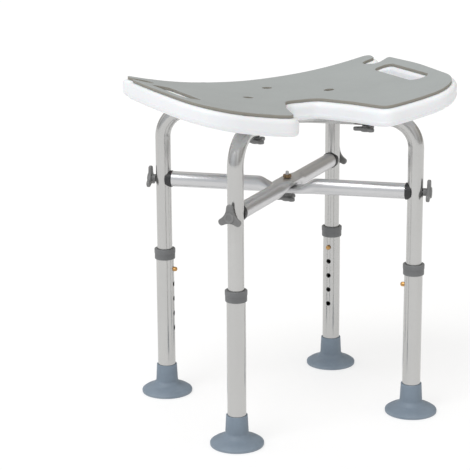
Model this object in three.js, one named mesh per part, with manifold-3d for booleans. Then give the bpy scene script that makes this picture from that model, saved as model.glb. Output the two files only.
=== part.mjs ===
// Height-adjustable shower stool: a dished plastic seat with a foam pad on two crossed tube hoops,
// whose legs slide inside four lower legs and lock with snap buttons.
// Millimetres, +Z up, the floor at z = 0. The seat's cut-out faces -Y, the front.
import * as THREE from 'three';
import { mergeVertices } from 'three/addons/utils/BufferGeometryUtils.js';
import Module from 'manifold-3d';

const wasm = await Module();
wasm.setup();

// Gap left between pieces that touch or cross.
const GAP = 0.3;

// Leg rectangle, from axis to axis. The hoops and brace bars lie on its two diagonals.
const LEG_SPACING_X = 315;
const LEG_SPACING_Y = 268;
const DIAGONAL = Math.hypot(LEG_SPACING_X, LEG_SPACING_Y);

// Tubes: the upper tube slides inside the lower leg.
const TUBE_R = 12.5;
const TUBE_WALL = 1.5;
const TUBE_SIDES = 14;
const LEG_R = 15;
const LEG_BORE_R = 13;

// Hoop: one bent tube that is two upper legs and the bar under the seat.
const HOOP_Z = 484;
const HOOP_BEND_R = 46;
const HOOP_BEND_STEPS = 5;
const HOOP_FOOT_Z = 200;

// Where crossing tubes are pressed flat: half thickness, widening, and the lengths of the flat and the taper.
const FLAT_HALF = 5.7;
const FLAT_WIDENING = 1.3;
const FLAT_LENGTH = 21;
const TAPER_LENGTH = 26;
const TAPER_STEPS = 2;
const STACK_OFFSET = FLAT_HALF + GAP;

// Height adjustment: the snap button and the row of holes in the lower leg.
const HOLE_TOP_Z = 214.8;
const HOLE_PITCH = 25.4;
const HOLE_COUNT = 5;
const HOLE_R = 4.1;
const BUTTON_R = 3.8;
const BUTTON_TIP = 21;
const BUTTON_FLANGE_R = 5.2;
const BUTTON_FLANGE = 1.2;
const BUTTON_BACK = 8;

// Spring strip behind the button.
const SPRING_WIDTH = 6.5;
const SPRING_THICKNESS = 0.8;
const SPRING_BACK = 9.4;
const SPRING_LENGTH = 28;
const SPRING_GRIP = 6;
const SPRING_STEPS = 12;

// Lower leg, collar and foot.
const LEG_BOTTOM_Z = 8;
const LEG_TOP_Z = 247.6;
const COLLAR_TOP_Z = 250;
const COLLAR_BOTTOM_Z = 232.5;
const COLLAR_R = 17.4;
const FOOT_R = 42.3;
const FOOT_EDGE = 5;
const FOOT_NECK_R = 18.3;
const FOOT_NECK_Z = 21;
const FOOT_TOP_R = 16.8;
const FOOT_TOP_Z = 49;
const FOOT_RECESS_R = 31;
const FOOT_RECESS = 2.5;
const ROUND_SIDES = 16;
const FOOT_SIDES = 20;

// Cross brace: two bars, their end plugs and the bolts into the legs.
const BRACE_Z = 368;
const BRACE_END = 15.5;
const PLUG_R = 13.6;
const PLUG_WING = 6;
const PLUG_SPIGOT_R = TUBE_R - TUBE_WALL - GAP;
const PLUG_SPIGOT = 18;

// Bolts (M6), nuts and knobs.
const STUD_R = 2.9;
const STUD_HOLE_R = 3.3;
const STUD_SIDES = 10;
const NUT_R = 5.8;
const NUT_THICKNESS = 5;
const KNOB_REACH = 20;
const KNOB_LOBE_HALF = 4.8;
const KNOB_LOBE_ROUND = 4.6;
const KNOB_WAIST_R = 7.5;
const KNOB_WAIST_ROUND = 20;
const KNOB_PLATE = 5.6;
const KNOB_BEVEL = 1;
const KNOB_HUB_R = 6.2;
const KNOB_HUB = 6.2;
const SEAT_KNOB_HUB = 3;
const KNOB_FACE_R = 8;
const KNOB_FACE = 1.4;
const KNOB_BORE = 4;

// Seat: pad outline, rim, thicknesses and dish.
const DISH_RISE = 31;
const DISH_HALF = 228;
const DISH_STRIPS = 11;
const DISH_REACH = 246;
const PAD_TOP_Z = 514.5;
const PAD_THICKNESS = 5;
const PAD_EDGE = 0.8;
const RIM = 8.5;
const SHELL_THICKNESS = 27;
const SHELL_EDGE = 7;
const WIDE_EDGE = 2;
const SHELL_WALL = 3.2;
const SHELL_TOP_Z = PAD_TOP_Z - PAD_THICKNESS - GAP;
// Right half of the pad outline, counter-clockwise from the cut-out: x, y, corner radius.
const PAD_CORNERS = [
  [28, -46, 26],
  [57, -105, 90],
  [78, -173, 16],
  [226, -163, 70],
  [237, -9, 400],
  [233, 79, 4.5],
  [203, 67, 11.5],
  [184, 99, 11.5],
  [219, 103, 4.5],
  [225, 130, 13],
  [56, 148, 400],
];
const SLOT_CENTRE = [199, -17];
const SLOT_SIZE = [33, 126];
const SLOT_ROUND = 13;
const SLOT_RIM = 5;
const DRAIN_R = 7;
const DRAIN_PAD_R = 8;
const DRAIN_SIDES = 10;
const DRAINS = [[-72, -6], [0, 71], [72, -6]];

// Seat fixings: five knobs under the hoops, screwed into brass inserts.
const FIXING_REACH = DIAGONAL / 2 - 80;
const CHANNEL_TOP_Z = HOOP_Z + TUBE_R + GAP;
const CHANNEL_HALF = TUBE_R * FLAT_WIDENING + 1;
const CROSSING_POCKET_R = 27;
const INSERT_R = 5;
const INSERT_LENGTH = 10;
const BOSS_R = 9;
const VENT_R = 3;
const VENT_AT = [0, 110];

// Largest turn of one chord of a rounded corner, on the seat and on the knobs.
const SEAT_ARC_STEP = Math.PI / 8;
const KNOB_ARC_STEP = Math.PI / 3.5;

const ALUMINIUM = { color: 0xc9cac6, roughness: 0.38, metalness: 0.9 };
const BRASS = { color: 0xc58a46, roughness: 0.35, metalness: 1 };
const STEEL = { color: 0xa9a9a6, roughness: 0.3, metalness: 1 };
const BLACK_PLASTIC = { color: 0x1b1b1c, roughness: 0.6, metalness: 0 };
const GREY_PLASTIC = { color: 0x7d7f80, roughness: 0.55, metalness: 0 };
const FOOT_RUBBER = { color: 0x78828f, roughness: 0.7, metalness: 0 };
const WHITE_PLASTIC = { color: 0xf4f5f6, roughness: 0.45, metalness: 0 };
const PAD_FOAM = { color: 0xa8acab, roughness: 0.85, metalness: 0 };

const QUARTER = Math.PI / 2;

// Each leg stands at a corner; its own frame has +X pointing outward along the diagonal.
const LEGS = [['front_left', -1, -1], ['front_right', 1, -1], ['back_right', 1, 1], ['back_left', -1, 1]]
  .map(([name, sideX, sideY]) => {
    const [x, y] = [(sideX * LEG_SPACING_X) / 2, (sideY * LEG_SPACING_Y) / 2];
    return { name, x, y, angle: Math.atan2(y, x) };
  });

// The two diagonals: the first lies on top where they cross, the second below.
const DIAGONALS = [
  { name: 'front_left_to_back_right', angle: Math.atan2(LEG_SPACING_Y, LEG_SPACING_X), side: 1 },
  { name: 'back_left_to_front_right', angle: -Math.atan2(LEG_SPACING_Y, LEG_SPACING_X), side: -1 },
];

// ---------- solids ----------

function solidOf(geometry) {
  const bare = geometry.clone();
  bare.deleteAttribute('normal');
  bare.deleteAttribute('uv');
  const merged = mergeVertices(bare, 1e-4);
  const vertProperties = new Float32Array(merged.attributes.position.array);
  const triVerts = new Uint32Array(merged.index.array);
  return new wasm.Manifold(new wasm.Mesh({ numProp: 3, vertProperties, triVerts }));
}

function geometryOf(solid) {
  const mesh = solid.getMesh();
  const geometry = new THREE.BufferGeometry();
  geometry.setAttribute('position', new THREE.BufferAttribute(mesh.vertProperties, 3));
  geometry.setIndex(new THREE.BufferAttribute(mesh.triVerts, 1));
  return geometry;
}

// A round bar along +Z from z0 to z1.
function barAlongZ(radius, z0, z1, sides, x = 0, y = 0) {
  return new THREE.CylinderGeometry(radius, radius, z1 - z0, sides)
    .rotateX(QUARTER)
    .translate(x, y, (z0 + z1) / 2);
}

// A round bar along +X from x0 to x1 at height z.
function barAlongX(radius, x0, x1, sides, z = 0) {
  return new THREE.CylinderGeometry(radius, radius, x1 - x0, sides)
    .rotateZ(-QUARTER)
    .translate((x0 + x1) / 2, 0, z);
}

// A turned piece: the profile is a list of [radius, height], closed on itself unless it meets the axis.
function turned(profile, sides) {
  const onAxis = profile[0][0] === 0;
  const closed = onAxis ? profile : [...profile, profile[0]];
  const points = closed.map(([r, z]) => new THREE.Vector2(r, z));
  return new THREE.LatheGeometry(points, sides).rotateX(QUARTER);
}

function subtractAll(geometry, cutters) {
  const cut = cutters.reduce((rest, cutter) => rest.subtract(solidOf(cutter)), solidOf(geometry));
  return geometryOf(cut);
}

// ---------- outlines ----------

// The two directions away from a corner, half its inside angle, and which way it turns (+1 is left).
function cornerAt(corners, i) {
  const [x, y] = corners[i];
  const here = new THREE.Vector2(x, y);
  const toward = (j) => {
    const [px, py] = corners[(j + corners.length) % corners.length];
    return new THREE.Vector2(px, py).sub(here).normalize();
  };
  const before = toward(i - 1);
  const after = toward(i + 1);
  const half = Math.acos(before.dot(after)) / 2;
  const sense = -Math.sign(before.cross(after));
  const bisector = before.clone().add(after).normalize();
  return { here, before, half, sense, bisector };
}

// Corners [x, y, radius] moved outward by `grow`, with radii that keep the same centres.
function grown(corners, grow) {
  return corners.map((corner, i) => {
    const { here, half, sense, bisector } = cornerAt(corners, i);
    const moved = here.addScaledVector(bisector, (-sense * grow) / Math.sin(half));
    return [moved.x, moved.y, corner[2] + sense * grow];
  });
}

// The outline through the corners, with each corner rounded by an arc.
function roundedOutline(corners, arcStep) {
  return corners.flatMap((corner, i) => {
    const radius = corner[2];
    const { here, before, half, sense, bisector } = cornerAt(corners, i);
    const centre = here.clone().addScaledVector(bisector, radius / Math.sin(half));
    const start = here.clone().addScaledVector(before, radius / Math.tan(half));
    const turn = Math.PI - 2 * half;
    const steps = Math.max(1, Math.ceil(turn / arcStep));
    return Array.from({ length: steps + 1 }, (_, k) =>
      start.clone().rotateAround(centre, (sense * turn * k) / steps)
    );
  });
}

function circleOutline(x, y, radius, sides) {
  return Array.from({ length: sides }, (_, i) => {
    const angle = (2 * Math.PI * i) / sides;
    return new THREE.Vector2(x + radius * Math.cos(angle), y + radius * Math.sin(angle));
  });
}

const mirrored = (corners) => corners.map(([x, y, r]) => [-x, y, r]).reverse();

function seatOutline(grow) {
  return roundedOutline(grown([...PAD_CORNERS, ...mirrored(PAD_CORNERS)], grow), SEAT_ARC_STEP);
}

function slotOutline(side, shrink) {
  const [w, h] = SLOT_SIZE.map((size) => size / 2 - shrink);
  const [x, y] = [side * SLOT_CENTRE[0], SLOT_CENTRE[1]];
  const r = SLOT_ROUND - shrink;
  const corners = [[x - w, y - h, r], [x + w, y - h, r], [x + w, y + h, r], [x - w, y + h, r]];
  return roundedOutline(corners, QUARTER / 2);
}

// ---------- seat ----------

// A flat slab whose top is at `top`, with its edges cut back by `edge`.
function slab(outline, holes, top, thickness, edge) {
  const shape = new THREE.Shape(outline);
  shape.holes = holes.map((hole) => new THREE.Path(hole));
  return new THREE.ExtrudeGeometry(shape, {
    depth: thickness - 2 * edge,
    bevelEnabled: edge > 0,
    bevelThickness: edge,
    bevelSize: edge,
    bevelOffset: -edge,
    bevelSegments: edge > WIDE_EDGE ? 2 : 1,
  }).translate(0, 0, top - thickness + edge);
}

// Outlines of the slots and drain holes through the seat; `grow` widens them.
function seatHoles(slotShrink, drainRadius) {
  const slots = [slotOutline(1, slotShrink), slotOutline(-1, slotShrink)];
  return [...slots, ...DRAINS.map(([x, y]) => circleOutline(x, y, drainRadius, DRAIN_SIDES))];
}

const dish = (x) => DISH_RISE * (x / DISH_HALF) ** 2;

// Curves a flat slab up towards its sides, one strip at a time so that every facet follows the dish.
// The strips meet at the same places in the shell and the pad, which keeps the gap between them even.
function dished(geometry) {
  geometry.computeBoundingBox();
  const { min, max } = geometry.boundingBox;
  const width = (2 * DISH_REACH) / DISH_STRIPS;
  const height = max.z - min.z + 2;
  const flat = solidOf(geometry);
  const strips = Array.from({ length: DISH_STRIPS }, (_, i) => {
    const middle = (i + 0.5) * width - DISH_REACH;
    const block = new THREE.BoxGeometry(width, max.y - min.y + 2, height)
      .translate(middle, (min.y + max.y) / 2, (min.z + max.z) / 2);
    return raised(geometryOf(flat.intersect(solidOf(block))));
  });
  return strips.map(solidOf).reduce((whole, strip) => whole.add(strip));
}

function raised(geometry) {
  const position = geometry.attributes.position;
  for (let i = 0; i < position.count; i += 1) {
    const x = Math.fround(Math.round(position.getX(i) * 1000) / 1000);
    position.setX(i, x);
    position.setZ(i, position.getZ(i) + dish(x));
  }
  return geometry;
}

// The places of the five seat knobs: the crossing and one on each hoop arm.
function fixingPlaces() {
  const arms = LEGS.map(({ angle }) => [FIXING_REACH * Math.cos(angle), FIXING_REACH * Math.sin(angle)]);
  return [[0, 0], ...arms];
}

// Straight channels for the two hoops and the round pocket at their crossing, grown by `wall`.
function channels(wall) {
  const height = 60;
  const bottom = CHANNEL_TOP_Z + wall - height;
  const arms = DIAGONALS.map(({ angle }) =>
    new THREE.BoxGeometry(DIAGONAL, 2 * (CHANNEL_HALF + wall), height)
      .translate(0, 0, bottom + height / 2)
      .rotateZ(angle)
  );
  const pocket = barAlongZ(CROSSING_POCKET_R + wall, bottom, bottom + height, ROUND_SIDES);
  return [...arms, pocket];
}

function shellGeometry() {
  const holes = seatHoles(SLOT_RIM, DRAIN_R);
  const body = dished(slab(seatOutline(RIM), holes, SHELL_TOP_Z, SHELL_THICKNESS, SHELL_EDGE));
  const innerHoles = seatHoles(SLOT_RIM - SHELL_WALL, DRAIN_R + SHELL_WALL);
  const innerThickness = SHELL_THICKNESS - 2 * SHELL_WALL;
  const innerOutline = seatOutline(RIM - SHELL_EDGE);
  const hollow = dished(slab(innerOutline, innerHoles, SHELL_TOP_Z - SHELL_WALL, innerThickness, 0));
  const bosses = fixingPlaces().map(([x, y]) => barAlongZ(BOSS_R, HOOP_Z, PAD_TOP_Z + DISH_RISE, 12, x, y));
  const cavity = [...channels(SHELL_WALL), ...bosses]
    .reduce((rest, keep) => rest.subtract(solidOf(keep)), hollow);
  const top = CHANNEL_TOP_Z + INSERT_LENGTH + 2 * GAP;
  const sockets = fixingPlaces().map(([x, y]) => barAlongZ(INSERT_R + GAP, HOOP_Z, top, 12, x, y));
  const vent = barAlongZ(VENT_R, HOOP_Z - 10, HOOP_Z + 10, 8, ...VENT_AT);
  const cutters = [...channels(0), ...sockets, vent].map(solidOf);
  return geometryOf(cutters.reduce((rest, cutter) => rest.subtract(cutter), body.subtract(cavity)));
}

function padGeometry() {
  const holes = seatHoles(0, DRAIN_PAD_R);
  return geometryOf(dished(slab(seatOutline(0), holes, PAD_TOP_Z, PAD_THICKNESS, PAD_EDGE)));
}

function insertGeometry() {
  const bottom = CHANNEL_TOP_Z + GAP;
  const top = bottom + INSERT_LENGTH;
  return turned([[STUD_HOLE_R, bottom], [INSERT_R, bottom], [INSERT_R, top], [STUD_HOLE_R, top]], 12);
}

// ---------- tubes ----------

// A path through given stations, each with its own direction, so that bends get short steps.
class StationPath extends THREE.Curve {
  constructor(stations) {
    super();
    this.stations = stations;
  }

  at(t) {
    return this.stations[Math.round(t * (this.stations.length - 1))];
  }

  getPointAt(t, target = new THREE.Vector3()) {
    return target.copy(this.at(t).point);
  }

  getPoint(t, target = new THREE.Vector3()) {
    return target.copy(this.at(t).point);
  }

  getTangentAt(t, target = new THREE.Vector3()) {
    return target.copy(this.at(t).direction);
  }
}

function station(x, z, dx, dz) {
  return { point: new THREE.Vector3(x, 0, z), direction: new THREE.Vector3(dx, 0, dz) };
}

function ringShape(radius, bore, sides) {
  const shape = new THREE.Shape(circleOutline(0, 0, radius, sides));
  shape.holes = [new THREE.Path(circleOutline(0, 0, bore, sides))];
  return shape;
}

function tubeAlong(stations) {
  const ring = ringShape(TUBE_R, TUBE_R - TUBE_WALL, TUBE_SIDES);
  const extrudePath = new StationPath(stations);
  return new THREE.ExtrudeGeometry(ring, { steps: stations.length - 1, extrudePath });
}

// Stations of a level run from -reach to +reach, close together where the middle is pressed flat.
function levelStations(reach, z) {
  const half = Array.from({ length: TAPER_STEPS + 1 }, (_, i) => FLAT_LENGTH + (TAPER_LENGTH * i) / TAPER_STEPS);
  const xs = [...half, reach];
  return [...xs.map((x) => -x).reverse(), ...xs].map((x) => station(x, z, 1, 0));
}

// Presses the middle of a level tube flat and shifts it up (side = 1) or down (side = -1).
function pressedFlat(geometry, z0, side) {
  const position = geometry.attributes.position;
  for (let i = 0; i < position.count; i += 1) {
    const past = (Math.abs(position.getX(i)) - FLAT_LENGTH) / TAPER_LENGTH;
    if (past < 1) {
      const press = 1 - THREE.MathUtils.smoothstep(past, 0, 1);
      const y = position.getY(i);
      const z = position.getZ(i) - z0;
      const inward = TUBE_R - Math.hypot(y, z);
      const thin = (FLAT_HALF - inward) / (TUBE_R - inward);
      position.setY(i, y * THREE.MathUtils.lerp(1, FLAT_WIDENING, press));
      position.setZ(i, z0 + z * THREE.MathUtils.lerp(1, thin, press) + side * STACK_OFFSET * press);
    }
  }
  return geometry;
}

function hoopStations() {
  const reach = DIAGONAL / 2;
  const level = levelStations(reach - HOOP_BEND_R, HOOP_Z);
  const bend = (side, i) => {
    const angle = (QUARTER * i) / HOOP_BEND_STEPS;
    const x = side * (reach - HOOP_BEND_R + HOOP_BEND_R * Math.sin(angle));
    const z = HOOP_Z - HOOP_BEND_R + HOOP_BEND_R * Math.cos(angle);
    return station(x, z, Math.cos(angle), -side * Math.sin(angle));
  };
  const steps = Array.from({ length: HOOP_BEND_STEPS }, (_, i) => i + 1);
  return [
    station(-reach, HOOP_FOOT_Z, 0, 1),
    ...steps.map((i) => bend(-1, i)).reverse(),
    ...level,
    ...steps.map((i) => bend(1, i)),
    station(reach, HOOP_FOOT_Z, 0, -1),
  ];
}

function hoopGeometry(side) {
  const reach = DIAGONAL / 2;
  const tube = pressedFlat(tubeAlong(hoopStations()), HOOP_Z, side);
  const cutters = [barAlongZ(STUD_HOLE_R, HOOP_Z - 20, HOOP_Z + 20, STUD_SIDES)];
  for (const end of [-1, 1]) {
    cutters.push(barAlongZ(STUD_HOLE_R, HOOP_Z - 20, HOOP_Z + 20, STUD_SIDES, end * FIXING_REACH));
    cutters.push(barAlongX(STUD_HOLE_R, end * reach - 20, end * reach + 20, STUD_SIDES, BRACE_Z));
    const inner = end * (reach - TUBE_R);
    cutters.push(barAlongX(HOLE_R, inner - 5, inner + 5, STUD_SIDES, HOLE_TOP_Z));
  }
  return subtractAll(tube, cutters);
}

function braceGeometry(side) {
  const tube = pressedFlat(tubeAlong(levelStations(DIAGONAL / 2 - BRACE_END, BRACE_Z)), BRACE_Z, side);
  return subtractAll(tube, [barAlongZ(STUD_HOLE_R, BRACE_Z - 20, BRACE_Z + 20, STUD_SIDES)]);
}

// ---------- pieces in the leg's own frame: the leg's axis is Z, +X points away from the stool ----------

function lowerLegGeometry() {
  const tube = new THREE.ExtrudeGeometry(ringShape(LEG_R, LEG_BORE_R, TUBE_SIDES), {
    depth: LEG_TOP_Z - LEG_BOTTOM_Z - GAP,
    bevelEnabled: false,
  }).translate(0, 0, LEG_BOTTOM_Z + GAP);
  const holes = Array.from({ length: HOLE_COUNT }, (_, i) =>
    barAlongX(HOLE_R, -LEG_R - 2, -LEG_BORE_R + 4, STUD_SIDES, HOLE_TOP_Z - i * HOLE_PITCH)
  );
  return subtractAll(tube, holes);
}

function collarGeometry() {
  return turned([
    [LEG_R + GAP, COLLAR_BOTTOM_Z],
    [COLLAR_R, COLLAR_BOTTOM_Z],
    [COLLAR_R, COLLAR_TOP_Z - 1],
    [COLLAR_R - 1, COLLAR_TOP_Z],
    [TUBE_R + GAP, COLLAR_TOP_Z],
    [TUBE_R + GAP, LEG_TOP_Z + GAP],
    [LEG_R + GAP, LEG_TOP_Z + GAP],
  ], ROUND_SIDES);
}

function footGeometry() {
  const bore = LEG_R + GAP;
  const flare = [0.2, 0.6].map((t) => {
    const r = THREE.MathUtils.lerp(FOOT_R - 1.5, FOOT_NECK_R, t);
    return [r, FOOT_EDGE + (FOOT_NECK_Z - FOOT_EDGE) * t ** 2];
  });
  return turned([
    [0, FOOT_RECESS],
    [FOOT_RECESS_R - 3, FOOT_RECESS],
    [FOOT_RECESS_R, 0],
    [FOOT_R - 1, 0],
    [FOOT_R, 1.5],
    [FOOT_R, FOOT_EDGE - 1],
    ...flare,
    [FOOT_NECK_R, FOOT_NECK_Z],
    [FOOT_TOP_R, FOOT_TOP_Z],
    [bore, FOOT_TOP_Z],
    [bore, LEG_BOTTOM_Z],
    [0, LEG_BOTTOM_Z],
  ], FOOT_SIDES);
}

// The button is turned about its own axis and laid along -X; it stands out of the top hole.
function buttonGeometry() {
  return turned([
    [0, BUTTON_BACK],
    [BUTTON_FLANGE_R, BUTTON_BACK],
    [BUTTON_FLANGE_R, BUTTON_BACK + BUTTON_FLANGE],
    [BUTTON_R, BUTTON_BACK + BUTTON_FLANGE],
    [BUTTON_R, BUTTON_TIP - 2],
    [BUTTON_R * 0.7, BUTTON_TIP - 0.6],
    [0, BUTTON_TIP],
  ], 12).rotateY(-QUARTER).translate(0, 0, HOLE_TOP_Z);
}

// A bent strip: one arm behind the button, a round heel above, one arm along the tube's outer wall.
function springGeometry() {
  const front = -(BUTTON_BACK - GAP - SPRING_THICKNESS / 2);
  const places = [
    [front, -SPRING_GRIP],
    [front, SPRING_GRIP],
    [front * 0.7, SPRING_LENGTH * 0.7],
    [SPRING_BACK * 0.2, SPRING_LENGTH],
    [SPRING_BACK * 0.85, SPRING_LENGTH * 0.75],
    [SPRING_BACK, SPRING_GRIP],
    [SPRING_BACK, -SPRING_GRIP],
  ].map(([x, z]) => new THREE.Vector3(x, 0, HOLE_TOP_Z + z));
  const section = new THREE.Shape();
  const [w, t] = [SPRING_WIDTH / 2, SPRING_THICKNESS / 2];
  section.moveTo(-w, -t).lineTo(w, -t).lineTo(w, t).lineTo(-w, t);
  const extrudePath = new THREE.CatmullRomCurve3(places, false, 'centripetal');
  return new THREE.ExtrudeGeometry(section, { steps: SPRING_STEPS, extrudePath });
}

// A black end plug: a spigot in the brace bar, and wings that hug the leg.
function plugGeometry() {
  const seatX = -BRACE_END + GAP;
  const back = -BRACE_END - PLUG_SPIGOT;
  const wings = solidOf(barAlongX(PLUG_R, seatX, -PLUG_WING, ROUND_SIDES, BRACE_Z));
  const spigot = solidOf(barAlongX(PLUG_SPIGOT_R, back, seatX + 1, TUBE_SIDES, BRACE_Z));
  const leg = solidOf(barAlongZ(TUBE_R + GAP, BRACE_Z - 20, BRACE_Z + 20, FOOT_SIDES));
  const hole = solidOf(barAlongX(STUD_HOLE_R, back - 1, 0, STUD_SIDES, BRACE_Z));
  const pocket = solidOf(barAlongX(NUT_R + GAP, back - 1, back + NUT_THICKNESS + 2 * GAP, 6, BRACE_Z));
  return geometryOf(wings.add(spigot).subtract(leg).subtract(hole).subtract(pocket));
}

// ---------- fasteners, each along its own +Z ----------

function nutGeometry() {
  const nut = barAlongZ(NUT_R, 0, NUT_THICKNESS, 6);
  return subtractAll(nut, [barAlongZ(STUD_HOLE_R, -1, NUT_THICKNESS + 1, STUD_SIDES)]);
}

// Each lobe has two rounded corners at its end, and a hollow waist lies between it and the next lobe.
function knobOutline() {
  const corners = Array.from({ length: 3 }, (_, i) => {
    const lobe = QUARTER + (i * 2 * Math.PI) / 3;
    const corner = (reach, across, round) => {
      const { x, y } = new THREE.Vector2(reach, across).rotateAround(new THREE.Vector2(), lobe);
      return [x, y, round];
    };
    const waist = new THREE.Vector2(KNOB_WAIST_R, 0).rotateAround(new THREE.Vector2(), Math.PI / 3);
    return [
      corner(KNOB_REACH, -KNOB_LOBE_HALF, KNOB_LOBE_ROUND),
      corner(KNOB_REACH, KNOB_LOBE_HALF, KNOB_LOBE_ROUND),
      corner(waist.x, waist.y, KNOB_WAIST_ROUND),
    ];
  });
  return roundedOutline(corners.flat(), KNOB_ARC_STEP);
}

// A three-lobed hand knob: hub from z = 0, then the plate with one lobe along +Y, then a raised face.
function knobGeometry(hub) {
  const top = hub + KNOB_PLATE;
  const plate = solidOf(slab(knobOutline(), [], top, KNOB_PLATE, KNOB_BEVEL));
  const neck = solidOf(barAlongZ(KNOB_HUB_R, 0, hub + 1, 12));
  const face = solidOf(barAlongZ(KNOB_FACE_R, top - 1, top + KNOB_FACE, 12));
  const bore = solidOf(barAlongZ(STUD_HOLE_R, -1, hub + KNOB_BORE, STUD_SIDES));
  return geometryOf(plate.add(neck).add(face).subtract(bore));
}

function studGeometry(hub, reach) {
  return barAlongZ(STUD_R, -reach, hub + KNOB_BORE - GAP, STUD_SIDES);
}

// ---------- assembly ----------

function mesh(name, geometry, look) {
  const made = new THREE.Mesh(geometry, new THREE.MeshStandardMaterial(look));
  made.name = name;
  return made;
}

// Adds a knob and its stud on one axis: `place` turns and moves both.
function addKnob(group, name, hub, reach, place) {
  const pair = new THREE.Group();
  pair.add(mesh(`${name}_knob`, knobGeometry(hub), GREY_PLASTIC));
  pair.add(mesh(`${name}_stud`, studGeometry(hub, reach), STEEL));
  place(pair);
  group.add(pair);
}

function legGroup({ name, x, y, angle }) {
  const group = new THREE.Group();
  group.add(mesh(`${name}_lower_leg`, lowerLegGeometry(), ALUMINIUM));
  group.add(mesh(`${name}_collar`, collarGeometry(), GREY_PLASTIC));
  group.add(mesh(`${name}_foot`, footGeometry(), FOOT_RUBBER));
  group.add(mesh(`${name}_snap_button`, buttonGeometry(), BRASS));
  group.add(mesh(`${name}_snap_spring`, springGeometry(), STEEL));
  group.add(mesh(`${name}_brace_plug`, plugGeometry(), BLACK_PLASTIC));
  const nut = mesh(`${name}_plug_nut`, nutGeometry(), STEEL);
  nut.rotation.set(0, QUARTER, Math.PI / 6);
  nut.position.set(-BRACE_END - PLUG_SPIGOT + GAP, 0, BRACE_Z);
  group.add(nut);
  const reach = TUBE_R + BRACE_END + PLUG_SPIGOT + 4;
  addKnob(group, `${name}_brace`, KNOB_HUB, reach, (pair) => {
    pair.quaternion.setFromAxisAngle(new THREE.Vector3(1, 1, 1).normalize(), (2 * Math.PI) / 3);
    pair.position.set(TUBE_R + GAP, 0, BRACE_Z);
  });
  group.position.set(x, y, 0);
  group.rotation.z = angle;
  return group;
}

function diagonalGroup({ name, angle, side }) {
  const group = new THREE.Group();
  group.add(mesh(`hoop_${name}`, hoopGeometry(side), ALUMINIUM));
  group.add(mesh(`brace_bar_${name}`, braceGeometry(side), ALUMINIUM));
  group.rotation.z = angle;
  return group;
}

function braceCentreGroup() {
  const group = new THREE.Group();
  const nut = mesh('brace_nut', nutGeometry(), BRASS);
  nut.position.z = BRACE_Z + 2 * STACK_OFFSET + GAP;
  group.add(nut);
  const reach = 4 * STACK_OFFSET + NUT_THICKNESS + 6;
  addKnob(group, 'brace_centre', KNOB_HUB, reach, (pair) => {
    pair.rotation.x = Math.PI;
    pair.position.z = BRACE_Z - 2 * STACK_OFFSET - GAP;
  });
  return group;
}

function seatGroup() {
  const group = new THREE.Group();
  group.add(mesh('seat_shell', shellGeometry(), WHITE_PLASTIC));
  group.add(mesh('seat_pad', padGeometry(), PAD_FOAM));
  const names = ['centre', ...LEGS.map((leg) => leg.name)];
  fixingPlaces().forEach(([x, y], i) => {
    const insert = mesh(`seat_insert_${names[i]}`, insertGeometry(), BRASS);
    insert.position.set(x, y, 0);
    group.add(insert);
    const reach = 2 * TUBE_R + INSERT_LENGTH;
    addKnob(group, `seat_${names[i]}`, SEAT_KNOB_HUB, reach, (pair) => {
      pair.rotation.x = Math.PI;
      pair.position.set(x, y, HOOP_Z - TUBE_R - GAP);
    });
  });
  return group;
}

const stool = new THREE.Group();
stool.add(seatGroup(), braceCentreGroup(), ...DIAGONALS.map(diagonalGroup), ...LEGS.map(legGroup));

// The origin is on the floor under the middle of the stool's outer box.
const box = new THREE.Box3().setFromObject(stool, true);
stool.position.set(-(box.min.x + box.max.x) / 2, -(box.min.y + box.max.y) / 2, -box.min.z);

export default stool;
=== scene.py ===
import math

import bmesh
import bpy
import numpy as np
from mathutils import Matrix, Vector
from mathutils.geometry import delaunay_2d_cdt


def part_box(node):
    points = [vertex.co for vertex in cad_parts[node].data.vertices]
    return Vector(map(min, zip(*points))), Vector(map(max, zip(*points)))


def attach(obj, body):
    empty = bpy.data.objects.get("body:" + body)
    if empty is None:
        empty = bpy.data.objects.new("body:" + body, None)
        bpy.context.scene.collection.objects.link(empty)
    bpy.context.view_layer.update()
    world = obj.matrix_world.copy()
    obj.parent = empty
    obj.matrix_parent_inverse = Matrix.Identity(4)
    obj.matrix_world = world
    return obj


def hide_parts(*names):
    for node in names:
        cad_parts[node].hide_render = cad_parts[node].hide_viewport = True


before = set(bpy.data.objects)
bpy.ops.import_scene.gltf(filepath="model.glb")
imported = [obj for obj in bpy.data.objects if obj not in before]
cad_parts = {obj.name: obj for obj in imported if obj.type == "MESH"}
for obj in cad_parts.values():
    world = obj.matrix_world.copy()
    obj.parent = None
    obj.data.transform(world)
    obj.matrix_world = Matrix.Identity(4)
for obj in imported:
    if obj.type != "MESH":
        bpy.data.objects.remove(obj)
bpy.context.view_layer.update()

MM = 0.001
QUARTER = math.pi / 2
FULL = 2 * math.pi

LEGS = ("front_left", "front_right", "back_right", "back_left")
# The hoop and brace bar of each diagonal: 1 lies on top where the two cross, -1 below.
DIAGONALS = {"front_left_to_back_right": 1, "back_left_to_front_right": -1}

FINE_ROUND = 96     # sides of the widest round pieces
ROUND = 64          # sides of other visible round pieces
SMALL_ROUND = 32    # sides of small ones
SHARP_ANGLE = math.radians(38)
AXIS_R = 0.2 * MM   # where a turned profile ends, a hair off its axis


# ---------- places read from the frame ----------

def middle(node):
    low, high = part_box(node)
    return (low + high) / 2


def size(node):
    low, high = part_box(node)
    return high - low


CENTRE = Vector((middle("brace_nut").x, middle("brace_nut").y, 0))
TUBE_WALL = 1.5 * MM
LEG_WALL = 2 * MM
CLEARANCE = 0.3 * MM
LEG_R = size("front_left_lower_leg").x / 2
REACH = (middle("front_left_lower_leg") - CENTRE).xy.length


def outward(leg):
    """The level direction from the stool's middle to a leg."""
    way = middle(f"{leg}_lower_leg") - CENTRE
    return Vector((way.x, way.y, 0)).normalized()


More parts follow.
